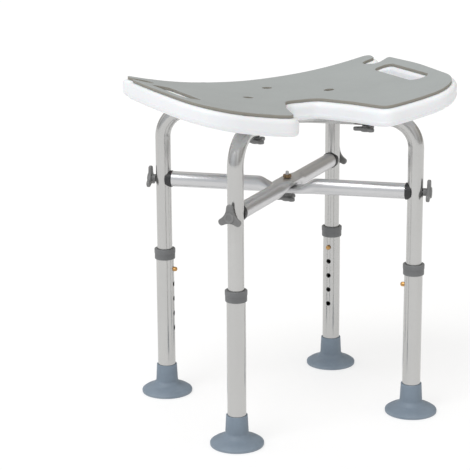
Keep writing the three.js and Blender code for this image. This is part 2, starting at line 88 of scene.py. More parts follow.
def leg_place(leg, height=0.0):
    """A leg's own frame: Z along the leg, +X away from the stool."""
    way = outward(leg)
    turn = Matrix.Rotation(math.atan2(way.y, way.x), 4, "Z")
    return Matrix.Translation(CENTRE + way * REACH + Vector((0, 0, height))) @ turn


def sideways(place):
    """The same place with its Z axis turned to point along the old X axis, and one knob lobe up."""
    axes = Matrix(((0, 0, 1, 0), (1, 0, 0, 0), (0, 1, 0, 0), (0, 0, 0, 1)))
    return place @ axes


def upside_down(place):
    return place @ Matrix.Rotation(math.pi, 4, "X")


# ---------- profiles and outlines ----------

def filleted(points, steps=5, closed=False):
    """A polyline of (a, b, fillet radius) with its corners rounded."""
    made = []
    count = len(points)
    for i, (a, b, radius) in enumerate(points):
        here = Vector((a, b))
        end = not closed and i in (0, count - 1)
        if radius <= 0 or end:
            made.append((a, b))
            continue
        before = (Vector(points[i - 1][:2]) - here).normalized()
        after = (Vector(points[(i + 1) % count][:2]) - here).normalized()
        half = math.acos(max(-1.0, min(1.0, before.dot(after)))) / 2
        pull = radius / math.tan(half)
        heart = here + (before + after).normalized() * radius / math.sin(half)
        start = here + before * pull - heart
        stop = here + after * pull - heart
        turn = math.atan2(start.x * stop.y - start.y * stop.x, start.dot(stop))
        for j in range(steps + 1):
            spot = heart + Matrix.Rotation(turn * j / steps, 2) @ start
            made.append((spot.x, spot.y))
    return made


def arc_corner(corners, i, grow):
    """Centre, first spoke and turn of a rounded corner of a counter-clockwise outline, grown by `grow`."""
    x, y, radius = corners[i]
    here = Vector((x, y))
    before = (Vector(corners[i - 1][:2]) - here).normalized()
    after = (Vector(corners[(i + 1) % len(corners)][:2]) - here).normalized()
    half = math.acos(before.dot(after)) / 2
    left = 1 if before.cross(after) < 0 else -1
    heart = here + (before + after).normalized() * radius / math.sin(half)
    spoke = here + before * radius / math.tan(half) - heart
    grown = radius + left * grow
    return heart, spoke * (grown / radius), left * (math.pi - 2 * half), radius


def outline(corners, grow=0.0, arc_step=0.2, chord=6 * MM):
    """Points of the rounded outline. Outlines of the same corners have the same number of points."""
    arcs = [arc_corner(corners, i, grow) for i in range(len(corners))]
    bare = [arc_corner(corners, i, 0.0) for i in range(len(corners))]
    made = []
    for i, (heart, spoke, turn, radius) in enumerate(arcs):
        steps = max(2, math.ceil(abs(turn) / arc_step), math.ceil(abs(turn) * radius / chord))
        made += [heart + Matrix.Rotation(turn * j / steps, 2) @ spoke for j in range(steps + 1)]
        after = (i + 1) % len(arcs)
        leaves = bare[i][0] + Matrix.Rotation(turn, 2) @ bare[i][1]
        arrives = bare[after][0] + bare[after][1]
        pieces = max(1, math.ceil((arrives - leaves).length / chord))
        target = arcs[after][0] + arcs[after][1]
        last = made[-1]
        made += [last.lerp(target, j / pieces) for j in range(1, pieces)]
    return made


def circle(radius, count, x=0.0, y=0.0):
    return [Vector((x + radius * math.cos(FULL * i / count), y + radius * math.sin(FULL * i / count)))
            for i in range(count)]


# ---------- meshes ----------

def mesh_of(name, verts, faces, grain=None):
    """A mesh with smooth faces and sharp creases. `grain` is the tube's own straight space, per vertex."""
    mesh = bpy.data.meshes.new(name)
    mesh.from_pydata([tuple(v) for v in verts], [], faces)
    if grain is not None:
        layer = mesh.attributes.new("grain", "FLOAT_VECTOR", "POINT")
        layer.data.foreach_set("vector", np.array(grain, np.float32).ravel())
    mesh.validate()
    mesh.update()
    bm = bmesh.new()
    bm.from_mesh(mesh)
    bmesh.ops.recalc_face_normals(bm, faces=bm.faces)
    if bm.calc_volume(signed=True) < 0:
        bmesh.ops.reverse_faces(bm, faces=bm.faces)
    bm.to_mesh(mesh)
    bm.free()
    mesh.shade_smooth()
    mesh.set_sharp_from_angle(angle=SHARP_ANGLE)
    return mesh


def bands(rings, offset=0, closed=False):
    """Quads between consecutive rings of equal length, numbered from `offset`."""
    count = len(rings[0])
    faces = []
    pairs = len(rings) if closed else len(rings) - 1
    for k in range(pairs):
        a = offset + k * count
        b = offset + ((k + 1) % len(rings)) * count
        faces += [(a + i, a + (i + 1) % count, b + (i + 1) % count, b + i) for i in range(count)]
    return faces


def lofted(name, rings, grain=None, closed=False):
    """A closed body through equal rings. Open ends are closed by a fan around the ring's middle."""
    verts = [v for ring in rings for v in ring]
    spots = [v for ring in grain for v in ring] if grain else None
    faces = bands(rings, 0, closed)
    if not closed:
        count = len(rings[0])
        for k in (0, len(rings) - 1):
            verts.append(sum(rings[k], Vector((0, 0, 0))) / count)
            if spots is not None:
                spots.append(sum(grain[k], Vector((0, 0, 0))) / count)
            tip = len(verts) - 1
            base = k * count
            faces += [(base + i, base + (i + 1) % count, tip) for i in range(count)]
    return mesh_of(name, verts, faces, spots)


def revolved(name, profile, sides=ROUND, closed=False):
    """A turned body: profile points are (radius, height). An open profile ends near the axis."""
    rings = [[Vector((r * math.cos(FULL * i / sides), r * math.sin(FULL * i / sides), z))
              for i in range(sides)] for r, z in profile]
    return lofted(name, rings, None, closed)


def add(name, mesh, place=None):
    """Links a mesh as an object, with its place put into the mesh."""
    if place is not None:
        mesh.transform(place)
    made = bpy.data.objects.new(name, mesh)
    bpy.context.scene.collection.objects.link(made)
    return made


def cut(body, cutters):
    """Cuts closed meshes out of an object and applies the result."""
    tools = [add(f"{body.name}_cutter", mesh) for mesh in cutters]
    for tool in tools:
        step = body.modifiers.new("cut", "BOOLEAN")
        step.operation = "DIFFERENCE"
        step.solver = "EXACT"
        step.object = tool
    shaped = body.evaluated_get(bpy.context.evaluated_depsgraph_get())
    mesh = bpy.data.meshes.new_from_object(shaped)
    body.modifiers.clear()
    body.data = mesh
    for tool in tools:
        bpy.data.objects.remove(tool)
    mesh.shade_smooth()
    mesh.set_sharp_from_angle(angle=SHARP_ANGLE)
    return body


def finished(piece, body, look, node):
    """Gives a piece its material and body, and hides the CAD node it stands for."""
    piece.data.materials.clear()
    piece.data.materials.append(look)
    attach(piece, body)
    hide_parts(node)
    return piece


# ---------- materials ----------

class Graph:
    """A node tree, with short calls to add and join nodes."""

    def __init__(self, tree):
        self.tree = tree

    def set(self, node, values):
        for key, value in values.items():
            if isinstance(value, bpy.types.NodeSocket):
                self.tree.links.new(value, node.inputs[key])
            else:
                node.inputs[key].default_value = value

    def add(self, kind, inputs=None, output=0, **settings):
        node = self.tree.nodes.new(kind)
        for key, value in settings.items():
            setattr(node, key, value)
        self.set(node, inputs or {})
        return node.outputs[output]

    def place(self, stretch=(1, 1, 1), source=None):
        """Object space, or another vector, stretched along its axes."""
        if source is None:
            source = self.add("ShaderNodeTexCoord", output="Object")
        return self.add("ShaderNodeVectorMath", {0: source, 1: stretch}, operation="MULTIPLY")

    def noise(self, where, scale, detail=3.0, roughness=0.5):
        return self.add("ShaderNodeTexNoise", {
            "Vector": where, "Scale": scale, "Detail": detail, "Roughness": roughness})

    def cells(self, where, scale, randomness=1.0):
        return self.add("ShaderNodeTexVoronoi", {
            "Vector": where, "Scale": scale, "Randomness": randomness})

    def spread(self, value, low, high, to_low, to_high):
        """Maps a value from one span to another, clamped."""
        return self.add("ShaderNodeMapRange", {
            "Value": value, "From Min": low, "From Max": high, "To Min": to_low, "To Max": to_high})

    def sum(self, a, b, operation="ADD"):
        return self.add("ShaderNodeMath", {0: a, 1: b}, operation=operation)

    def blend(self, share, first, second):
        """A colour from `first` to `second` by `share`."""
        node = self.tree.nodes.new("ShaderNodeMix")
        node.data_type = "RGBA"
        self.tree.links.new(share, node.inputs["Factor"])
        for socket, value in zip((s for s in node.inputs if s.type == "RGBA"), (first, second)):
            if isinstance(value, bpy.types.NodeSocket):
                self.tree.links.new(value, socket)
            else:
                socket.default_value = (*value, 1)
        return next(s for s in node.outputs if s.type == "RGBA")

    def bump(self, height, distance, strength=1.0, under=None):
        inputs = {"Height": height, "Distance": distance, "Strength": strength}
        if under is not None:
            inputs["Normal"] = under
        return self.add("ShaderNodeBump", inputs)

    def worn_edges(self, low=0.505, high=0.53):
        """1 on outward edges, 0 on flat and hollow places."""
        pointed = self.add("ShaderNodeNewGeometry", output="Pointiness")
        return self.spread(pointed, low, high, 0, 1)


class Look(Graph):
    """A material and its node tree."""

    def __init__(self, name, colour, roughness, metallic=0.0, **sockets):
        self.material = bpy.data.materials.new(name)
        self.material.use_nodes = True
        self.material.diffuse_color = (*colour, 1)
        super().__init__(self.material.node_tree)
        self.shader = self.tree.nodes["Principled BSDF"]
        self.set(self.shader, {"Base Color": (*colour, 1), "Roughness": roughness, "Metallic": metallic})
        self.set(self.shader, sockets)

    def done(self, **sockets):
        self.set(self.shader, {key.replace("_", " "): value for key, value in sockets.items()})
        return self.material


def shade(colour, factor):
    return tuple(min(1.0, c * factor) for c in colour)


def drawn_tube(name, base, roughness, metallic):
    """Drawn aluminium: fine lines along the tube, faint rubbed patches and a few scuffs across it."""
    g = Look(name, base, roughness, metallic)
    grain = g.add("ShaderNodeAttribute", output="Vector", attribute_name="grain")
    lines = g.noise(g.place((2600, 2600, 12), grain), 1.0, 2.0, 0.5)
    broad = g.noise(g.place((90, 90, 6), grain), 1.0, 3.0)
    patches = g.noise(g.place(source=grain), 22.0, 4.0, 0.6)
    scuffs = g.noise(g.place((260, 260, 1400), grain), 1.0, 2.0)
    rubbed = g.spread(scuffs, 0.66, 0.74, 0, 1)
    tint = g.blend(g.spread(broad, 0.3, 0.7, 0, 1), shade(base, 0.975), shade(base, 1.025))
    tint = g.blend(g.spread(patches, 0.35, 0.75, 0, 0.5), tint, shade(base, 0.95))
    tint = g.blend(g.sum(rubbed, 0.2, "MULTIPLY"), tint, shade(base, 1.12))
    rough = g.sum(g.spread(lines, 0.3, 0.7, roughness - 0.03, roughness + 0.03),
                  g.spread(patches, 0.3, 0.7, -0.03, 0.05))
    normal = g.bump(lines, 0.00001, 0.12)
    normal = g.bump(rubbed, 0.00001, 0.15, normal)
    return g.done(Base_Color=tint, Roughness=rough, Normal=normal)


def metal(name, base, roughness, dull, dull_colour):
    """Turned or plated metal with fine tool marks and dull spots."""
    g = Look(name, base, roughness, 1.0)
    marks = g.noise(g.place((300, 300, 5200)), 1.0, 3.0)
    spots = g.noise(g.place(), 420.0, 4.0, 0.6)
    cloudy = g.spread(spots, 0.45, 0.7, 0, dull)
    tint = g.blend(cloudy, base, dull_colour)
    rough = g.sum(g.spread(marks, 0.3, 0.7, roughness - 0.06, roughness + 0.08), cloudy)
    return g.done(Base_Color=tint, Roughness=rough, Normal=g.bump(marks, 0.00003, 0.5))


def moulded_plastic(name, base, roughness, grain_size=0.0006, grain_depth=0.00004, edge=1.35):
    """Moulded plastic: a fine spark-eroded grain, soft colour drift and edges rubbed lighter."""
    g = Look(name, base, roughness)
    where = g.place()
    grain = g.cells(where, 1 / grain_size)
    fine = g.noise(where, 0.8 / grain_size, 3.0, 0.6)
    drift = g.noise(where, 38.0, 4.0, 0.55)
    worn = g.sum(g.worn_edges(), g.spread(drift, 0.3, 0.7, 0.25, 1), "MULTIPLY")
    tint = g.blend(g.spread(drift, 0.3, 0.7, 0, 1), shade(base, 0.92), shade(base, 1.07))
    tint = g.blend(g.sum(worn, 0.6, "MULTIPLY"), tint, shade(base, edge))
    rough = g.sum(g.spread(fine, 0.3, 0.7, roughness - 0.07, roughness + 0.09),
                  g.sum(worn, -0.08, "MULTIPLY"))
    normal = g.bump(g.sum(grain, fine), grain_depth, 0.6)
    return g.done(Base_Color=tint, Roughness=rough, Normal=normal)


def white_seat():
    """Blow-moulded white polyethylene: a faint orange peel, a satin skin and light hairline scuffs."""
    base = (0.82, 0.83, 0.845)
    g = Look("white_polyethylene", base, 0.36, 0.0, **{
        "Subsurface Weight": 0.12, "Subsurface Scale": 0.004, "IOR": 1.5})
    where = g.place()
    peel = g.noise(where, 240.0, 2.0, 0.45)
    skin = g.noise(where, 1500.0, 3.0, 0.6)
    drift = g.noise(where, 12.0, 4.0, 0.5)
    hairs = g.noise(g.place((30, 900, 500)), 1.0, 3.0, 0.7)
    scuff = g.sum(g.spread(hairs, 0.68, 0.76, 0, 1), g.spread(drift, 0.5, 0.7, 0, 1), "MULTIPLY")
    tint = g.blend(g.spread(drift, 0.3, 0.7, 0, 1), shade(base, 0.985), shade(base, 1.01))
    tint = g.blend(g.sum(scuff, 0.2, "MULTIPLY"), tint, (0.74, 0.75, 0.76))
    rough = g.sum(g.spread(peel, 0.3, 0.7, 0.32, 0.42), g.spread(drift, 0.3, 0.7, -0.03, 0.05))
    normal = g.bump(peel, 0.00012, 0.3)
    normal = g.bump(skin, 0.00003, 0.3, normal)
    return g.done(Base_Color=tint, Roughness=rough, Normal=normal)


def foam(name, base, cell, depth, pore_shade, drift_share=1.0):
    """Closed-cell foam: tiny pores in a soft matte skin, with clouds of slightly different grey. The pores
    are darkened as painted shade in their pits.
    """
    g = Look(name, base, 0.88, 0.0, **{"Sheen Weight": 0.12, "Sheen Roughness": 0.5})
    where = g.place()
    pits = g.cells(where, 1 / cell)
    small = g.noise(where, 0.55 / cell, 4.0, 0.7)
    drift = g.noise(where, 16.0, 5.0, 0.6)
    dust = g.noise(where, 160.0, 3.0, 0.6)
    holes = g.spread(pits, 0.0, 0.32, 1, 0)
    tint = g.blend(g.spread(drift, 0.3, 0.7, 0, drift_share), shade(base, 0.96), shade(base, 1.04))
    tint = g.blend(g.spread(dust, 0.35, 0.7, 0, 0.45), tint, shade(base, 1.06))
    # painted shade: the colour is darkened to 0.6 of the base in the pores' pits
    tint = g.blend(g.sum(holes, pore_shade, "MULTIPLY"), tint, shade(base, 0.6))
    rough = g.sum(g.spread(small, 0.3, 0.7, 0.8, 0.93), g.spread(drift, 0.3, 0.7, -0.03, 0.03))
    normal = g.bump(g.sum(pits, small), depth, 0.55)
    return g.done(Base_Color=tint, Roughness=rough, Normal=normal)


def rubber_foot():
    """Slate rubber: a matte moulded skin, paler rubbed edges and dust low on the flange."""
    base = (0.18, 0.225, 0.275)
    g = Look("slate_rubber", base, 0.55)
    where = g.place()
    skin = g.noise(where, 900.0, 4.0, 0.65)
    pebbles = g.cells(where, 1400.0)
    drift = g.noise(where, 45.0, 4.0, 0.6)
    height = g.add("ShaderNodeSeparateXYZ", {0: g.add("ShaderNodeTexCoord", output="Object")}, "Z")
    low = g.sum(g.spread(height, 0.0, 0.006, 1, 0), g.spread(drift, 0.35, 0.65, 0.1, 1), "MULTIPLY")
    tint = g.blend(g.spread(drift, 0.3, 0.7, 0, 1), shade(base, 0.93), shade(base, 1.07))
    tint = g.blend(g.sum(g.worn_edges(), 0.3, "MULTIPLY"), tint, shade(base, 1.5))
    tint = g.blend(g.sum(low, 0.22, "MULTIPLY"), tint, (0.45, 0.45, 0.44))
    rough = g.sum(g.spread(skin, 0.3, 0.7, 0.48, 0.62), g.sum(low, 0.15, "MULTIPLY"))
    normal = g.bump(g.sum(skin, pebbles), 0.00005, 0.55)
    return g.done(Base_Color=tint, Roughness=rough, Normal=normal)


def pale_floor():
    """A plain white floor that glows a little, so shadows stay faint, and is clear from below."""
    g = Look("pale_floor", (0.4, 0.4, 0.4), 0.7, 0.0, **{
        "Emission Color": (1, 1, 1, 1), "Emission Strength": FLOOR_GLOW})
    where = g.place()
    cloud = g.noise(where, 2.5, 3.0)
    grit = g.noise(where, 700.0, 2.0)
    tint = g.blend(g.spread(cloud, 0.3, 0.7, 0, 1), (0.39, 0.39, 0.39), (0.41, 0.41, 0.41))
    g.done(Base_Color=tint, Normal=g.bump(grit, 0.00004, 0.2))
    below = g.add("ShaderNodeNewGeometry", output="Backfacing")
    clear = g.add("ShaderNodeBsdfTransparent")
    both = g.add("ShaderNodeMixShader", {0: below, 1: g.shader.outputs[0], 2: clear})
    g.set(g.tree.nodes["Material Output"], {"Surface": both})
    return g.material


# ---------- tubes on the two diagonals ----------

TUBE_R = 12.5 * MM
FLAT_HALF = 5.7 * MM
FLAT_WIDENING = 1.3
FLAT_LENGTH = 21 * MM
TAPER_LENGTH = 26 * MM
STACK_OFFSET = FLAT_HALF + CLEARANCE
HOOP_BEND_R = 46 * MM
BRACE_END = 15.5 * MM
FLAT_SQUARENESS = 0.42
LEVEL_STEP = 3.5 * MM
BEND_STEPS = 16
RING_SIDES = 48


def pressed(along):
    """How flat the tube is at a distance from the crossing: 1 at the crossing, 0 past the taper."""
    past = (abs(along) - FLAT_LENGTH) / TAPER_LENGTH
    past = max(0.0, min(1.0, past))
    return 1 - past * past * (3 - 2 * past)


def tube_ring(place, along, side, wall):
    """One ring of a tube in its diagonal's frame; `place` is (x, z, direction x, direction z)."""
    x, z, dx, dz = place
    press = 0.0 if dz else pressed(x)
    wide = (TUBE_R * (1 + (FLAT_WIDENING - 1) * press)) - wall
    tall = (TUBE_R + (FLAT_HALF - TUBE_R) * press) - wall
    power = 1 - FLAT_SQUARENESS * press
    ring, grain = [], []
    for i in range(RING_SIDES):
        angle = FULL * i / RING_SIDES
        c, s = math.cos(angle), math.sin(angle)
        across = wide * math.copysign(abs(c) ** power, c)
        up = tall * math.copysign(abs(s) ** power, s)
        ring.append(Vector((x - dz * up, across, z + dx * up + side * STACK_OFFSET * press)))
        grain.append(Vector((c * TUBE_R, s * TUBE_R, along)))
    return ring, grain


def tube_mesh(name, places, side):
    """A hollow tube along its places: the outer wall one way and the bore back."""
    outer, inner, along = [], [], 0.0
    for k, place in enumerate(places):
        if k:
            along += math.hypot(place[0] - places[k - 1][0], place[1] - places[k - 1][1])
        outer.append(tube_ring(place, along, side, 0.0))
        inner.append(tube_ring(place, along, side, TUBE_WALL))
    walls = outer + inner[::-1]
    return lofted(name, [w[0] for w in walls], [w[1] for w in walls], closed=True)


def level_places(reach, z):
    count = math.ceil(reach / LEVEL_STEP)
    return [(reach * i / count, z, 1, 0) for i in range(-count, count + 1)]


def hoop_places(z, foot_z):
    """From one foot up, round the bend, across under the seat, and down to the other foot."""
    level = level_places(REACH - HOOP_BEND_R, z)
    bend = []
    for i in range(1, BEND_STEPS + 1):
        angle = QUARTER * i / BEND_STEPS
        x = REACH - HOOP_BEND_R + HOOP_BEND_R * math.sin(angle)
        bend.append((x, z - HOOP_BEND_R + HOOP_BEND_R * math.cos(angle), math.cos(angle), -math.sin(angle)))
    rise = [(-x, h, dx, -dz) for x, h, dx, dz in bend[::-1]]
    return [(-REACH, foot_z, 0, 1)] + rise + level + bend + [(REACH, foot_z, 0, -1)]


def diagonal_place(name):
    """The frame of a hoop or brace bar: X along it towards its second leg."""
    way = outward(name.split("_to_")[1])
    return Matrix.Translation(CENTRE) @ Matrix.Rotation(math.atan2(way.y, way.x), 4, "Z")


def make_diagonals(looks):
    for name, side in DIAGONALS.items():
        place = diagonal_place(name)
        low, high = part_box(f"hoop_{name}")
        hoop_z = high.z - TUBE_R
        hoop = tube_mesh("hoop", hoop_places(hoop_z, low.z), side)
        hoop = add(f"visible_hoop_{name}", hoop, place)
        finished(hoop, "frame", looks["tube"], f"hoop_{name}")
        brace_z = middle("front_left_brace_plug").z
        bar = tube_mesh("bar", level_places(REACH - BRACE_END, brace_z), side)
        bar = add(f"visible_brace_bar_{name}", bar, place)
        finished(bar, "frame", looks["bar"], f"brace_bar_{name}")


# ---------- lower leg, collar, foot and button ----------

HOLE_R = 4.1 * MM
HOLE_PITCH = 25.4 * MM
HOLE_COUNT = 5
HOLE_TOP_Z = middle("front_left_snap_button").z
LEG_EASE = 0.5 * MM
LEG_BANDS = 12
COLLAR_LIP = 0.5 * MM
COLLAR_NECK = 2.4 * MM
SOLE_HOLLOW = 2.5 * MM
SOLE_GROOVES = (34.0 * MM, 38.5 * MM)
GROOVE_DEPTH = 0.8 * MM
FOOT_NECK_R = 18.3 * MM
FOOT_TOP_R = 16.8 * MM
FOOT_BORE_Z = 8.3 * MM
BUTTON_R = 3.8 * MM
BUTTON_FLANGE_R = 5.2 * MM
BUTTON_BACK = 8 * MM
BUTTON_SHOULDER = 9.2 * MM
BUTTON_TIP = 21 * MM


def lower_leg_mesh(low, high):
    """A hollow tube with softened ends, along its leg's Z axis."""
    bore = LEG_R - LEG_WALL
    heights = [low + (high - low) * k / LEG_BANDS for k in range(1, LEG_BANDS)]
    heights = [low + LEG_EASE, *heights, high - LEG_EASE]
    wall = [(bore + LEG_EASE, low), (LEG_R - LEG_EASE, low)] + [(LEG_R, z) for z in heights]
    wall += [(LEG_R - LEG_EASE, high), (bore + LEG_EASE, high)] + [(bore, z) for z in heights[::-1]]
    rings = [[Vector((*p, z)) for p in circle(r, ROUND)] for r, z in wall]
    grain = [[Vector((*p, z)) for p in circle(LEG_R, ROUND)] for _, z in wall]
    return lofted("lower_leg", rings, grain, closed=True)


def hole_cutter(leg, z):
    """A short bar through the leg's wall on the side of the stool's middle."""
    bar = revolved("hole", [(HOLE_R, -LEG_R * 1.3), (HOLE_R, -LEG_R * 0.45)], SMALL_ROUND)
    bar.transform(sideways(leg_place(leg, z)))
    return bar


def collar_profile(low, high):
    """A grip collar: straight bore, a soft lower edge and a slightly wider band at its top."""
    r = size("front_left_collar").x / 2
    inner = TUBE_R + CLEARANCE
    outer = LEG_R + CLEARANCE
    body = r - COLLAR_LIP
    shoulder = low + (high - low) * 0.55
    return filleted([
        (outer, low, 0), (body, low, 1.0 * MM), (body, shoulder, 0.4 * MM),
        (r, shoulder + 0.6 * MM, 0.4 * MM), (r, high, 1.3 * MM), (inner, high, 0.5 * MM),
        (inner, high - COLLAR_NECK, 0), (outer, high - COLLAR_NECK, 0)], closed=True)


def foot_profile(high):
    """Turned rubber foot: hollow grooved sole, thin round edge, domed flange and tapered socket."""
    edge = size("front_left_foot").x / 2
    bore = LEG_R + CLEARANCE
    points = [(AXIS_R, SOLE_HOLLOW, 0), (28 * MM, SOLE_HOLLOW, 1 * MM), (31 * MM, 0, 0.6 * MM)]
    for r in SOLE_GROOVES:
        points += [(r - 1 * MM, 0, 0.3 * MM), (r - 0.6 * MM, GROOVE_DEPTH, 0.2 * MM),
                   (r + 0.6 * MM, GROOVE_DEPTH, 0.2 * MM), (r + 1 * MM, 0, 0.3 * MM)]
    points += [
        (edge - 0.4 * MM, 0, 0.8 * MM), (edge, 4.4 * MM, 2.2 * MM), (36 * MM, 8.6 * MM, 14 * MM),
        (FOOT_NECK_R + 5.2 * MM, 13.2 * MM, 9 * MM), (FOOT_NECK_R, 19.5 * MM, 5 * MM),
        (FOOT_TOP_R, high, 0.9 * MM), (bore, high, 0.4 * MM), (bore, FOOT_BORE_Z, 0),
        (AXIS_R, FOOT_BORE_Z, 0)]
    return filleted(points, steps=7)


def button_profile():
    """Snap button: flange inside the tube, then a straight pin with a domed tip."""
    return filleted([
        (0.1 * MM, BUTTON_BACK, 0), (BUTTON_FLANGE_R, BUTTON_BACK, 0.3 * MM),
        (BUTTON_FLANGE_R, BUTTON_SHOULDER, 0.3 * MM), (BUTTON_R, BUTTON_SHOULDER, 0),
        (BUTTON_R, BUTTON_TIP - 0.7 * MM, 3.5 * MM), (0.1 * MM, BUTTON_TIP, 0)], steps=8)


def make_legs(looks):
    for leg in LEGS:
        place = leg_place(leg)
        body = f"{leg}_leg"
        low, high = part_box(f"{leg}_lower_leg")
        tube = add(f"visible_{leg}_lower_leg", lower_leg_mesh(low.z, high.z), place)
        holes = [hole_cutter(leg, HOLE_TOP_Z - k * HOLE_PITCH) for k in range(HOLE_COUNT)]
        finished(cut(tube, holes), body, looks["tube"], f"{leg}_lower_leg")
        low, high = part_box(f"{leg}_collar")
        collar = revolved("collar", collar_profile(low.z, high.z), closed=True)
        collar = add(f"visible_{leg}_collar", collar, place)
        finished(collar, body, looks["collar"], f"{leg}_collar")
        foot = revolved("foot", foot_profile(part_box(f"{leg}_foot")[1].z), FINE_ROUND)
        foot = add(f"visible_{leg}_foot", foot, place)
        finished(foot, body, looks["foot"], f"{leg}_foot")
        inward = sideways(leg_place(leg, HOLE_TOP_Z)) @ Matrix.Rotation(math.pi, 4, "Y")
        button = revolved("button", button_profile(), SMALL_ROUND)
        button = add(f"visible_{leg}_snap_button", button, inward)
        finished(button, f"{leg}_button", looks["copper"], f"{leg}_snap_button")


# ---------- knobs, studs, nuts and plugs ----------

STUD_R = 2.9 * MM
STUD_HOLE_R = 3.3 * MM
STUD_SIDES = 24
THREAD_PITCH = 1.0 * MM
THREAD_DEPTH = 0.32 * MM
KNOB_REACH = 20 * MM
KNOB_LOBE_HALF = 4.8 * MM
KNOB_LOBE_ROUND = 4.6 * MM
KNOB_WAIST_R = 7.5 * MM
KNOB_WAIST_ROUND = 20 * MM
KNOB_PLATE = 5.6 * MM
KNOB_HUB_R = 6.2 * MM
KNOB_FACE_R = 8 * MM
KNOB_FACE = 1.4 * MM
KNOB_DIMPLE_R = 4.2 * MM
KNOB_DIMPLE = 0.5 * MM
KNOB_CORE_R = 0.3 * MM
KNOB_BORE = 4 * MM
KNOB_SOFT = 1.7 * MM
KNOB_SOFT_STEPS = 5
KNOB_HUB = 6.2 * MM
SEAT_KNOB_HUB = 3 * MM
NUT_SIDES = 72
NUT_LEAD = 0.5 * MM
NUT_CHAMFER = 1.03
PLUG_HEAD_R = 13.6 * MM
PLUG_SPIGOT = 18 * MM
PLUG_MOUTH = 5.4 * MM


def knob_corners():
    """Two rounded corners at the end of each of three lobes, the first lobe along +Y, and hollow waists."""
    corners = []
    for i in range(3):
        lobe = Matrix.Rotation(QUARTER + i * FULL / 3, 2)
        waist = Matrix.Rotation(math.pi / 3, 2) @ Vector((KNOB_WAIST_R, 0))
        for spot, soft in ((Vector((KNOB_REACH, -KNOB_LOBE_HALF)), KNOB_LOBE_ROUND),
                           (Vector((KNOB_REACH, KNOB_LOBE_HALF)), KNOB_LOBE_ROUND),
                           (waist, KNOB_WAIST_ROUND)):
            x, y = lobe @ spot
            corners.append((x, y, soft))
    return corners


def knob_mesh(hub):
    """A three-lobed knob as one skin: face, plate with rounded edges, hub and the stud's bore."""
    corners = knob_corners()

    def edge(grow, z):
        points = outline(corners, grow, arc_step=0.16, chord=1.6 * MM)
        return [Vector((*p, z)) for p in points]

    ways = [p.xy.normalized() for p in edge(0.0, 0.0)]

    def ring(radius, z):
        return [Vector((*(way * radius), z)) for way in ways]

    def between(a, b, shares):
        return [[p.lerp(q, share) for p, q in zip(a, b)] for share in shares]

    top = hub + KNOB_PLATE
    face = top + KNOB_FACE
    rings = [
        ring(KNOB_CORE_R, face - KNOB_DIMPLE), ring(KNOB_DIMPLE_R, face - KNOB_DIMPLE),
        ring(KNOB_DIMPLE_R + 0.6 * MM, face), ring(KNOB_FACE_R - 0.6 * MM, face),
        ring(KNOB_FACE_R - 0.15 * MM, face - 0.2 * MM), ring(KNOB_FACE_R, top + 0.4 * MM)]
    rings += between(ring(KNOB_FACE_R + 0.3 * MM, top), edge(-KNOB_SOFT, top), (0.0, 0.35, 0.7, 1.0))
    angles = [QUARTER * k / KNOB_SOFT_STEPS for k in range(KNOB_SOFT_STEPS + 1)]
    rings += [edge(-KNOB_SOFT * (1 - math.sin(angle)), top - KNOB_SOFT * (1 - math.cos(angle)))
              for angle in angles[1:]]
    rings += [edge(-KNOB_SOFT * (1 - math.cos(angle)), hub + KNOB_SOFT * (1 - math.sin(angle)))
              for angle in angles]
    rings += between(edge(-KNOB_SOFT, hub), ring(KNOB_HUB_R + 0.6 * MM, hub), (0.4, 0.8, 1.0))
    rings += [
        ring(KNOB_HUB_R, hub - 0.6 * MM), ring(KNOB_HUB_R, 0.4 * MM), ring(KNOB_HUB_R - 0.4 * MM, 0),
        ring(STUD_HOLE_R, 0), ring(STUD_HOLE_R, hub + KNOB_BORE), ring(KNOB_CORE_R, hub + KNOB_BORE)]
    return lofted("knob", rings)


def stud_mesh(reach, top):
    """An M6 stud with a helical thread, from -reach to top along its own Z."""
    step = THREAD_PITCH / 4
    count = math.ceil((top + reach) / step)
    rings = []
    for k in range(count + 1):
        z = -reach + (top + reach) * k / count
        full = min(1.0, (z + reach) / (1.5 * MM), (top - z) / (1.0 * MM))
        ring = []
        for i in range(STUD_SIDES):
            phase = (z / THREAD_PITCH - i / STUD_SIDES) % 1.0
            groove = abs(2 * phase - 1)
            r = STUD_R - THREAD_DEPTH * groove - 0.35 * MM * (1 - full)
            angle = FULL * i / STUD_SIDES
            ring.append(Vector((r * math.cos(angle), r * math.sin(angle), z)))
        rings.append(ring)
    return lofted("stud", rings)


def nut_mesh(across, thickness):
    """A hex nut with chamfered corners and a bore, from z = 0."""
    apothem = across / 2
    chamfer = apothem * NUT_CHAMFER
    slope = math.tan(math.radians(30))
    angles = [FULL * i / NUT_SIDES for i in range(NUT_SIDES)]
    corners = [apothem / math.cos(angle % (math.pi / 3) - math.pi / 6) for angle in angles]
    faces = [min(corner, chamfer) for corner in corners]
    dips = [max(0.0, corner - chamfer) * slope for corner in corners]

    def ring(radii, heights):
        return [Vector((r * math.cos(angle), r * math.sin(angle), z))
                for r, z, angle in zip(radii, heights, angles)]

    def level(radii, z):
        return ring(radii, [z] * NUT_SIDES)

    bore = [STUD_HOLE_R] * NUT_SIDES
    lead = [STUD_HOLE_R + NUT_LEAD] * NUT_SIDES
    rings = [level(bore, NUT_LEAD), level(lead, 0.0), level(faces, 0.0), ring(corners, dips)]
    rings += [ring(corners, [thickness - dip for dip in dips]), level(faces, thickness)]
    rings += [level(lead, thickness), level(bore, thickness - NUT_LEAD)]
    return lofted("nut", rings, closed=True)


def plug_mesh():
    """An end plug on the leg's inner side: a spigot inside the bar and a head, before the leg is cut out."""
    spigot = TUBE_R - TUBE_WALL - CLEARANCE
    seat = -BRACE_END + CLEARANCE
    tail = -BRACE_END - PLUG_SPIGOT
    return revolved("plug", filleted([
        (AXIS_R, tail, 0), (spigot, tail, 0.6 * MM), (spigot, seat, 0), (PLUG_HEAD_R, seat, 0.9 * MM),
        (PLUG_HEAD_R, -PLUG_MOUTH, 0), (AXIS_R, -PLUG_MOUTH, 0)]))


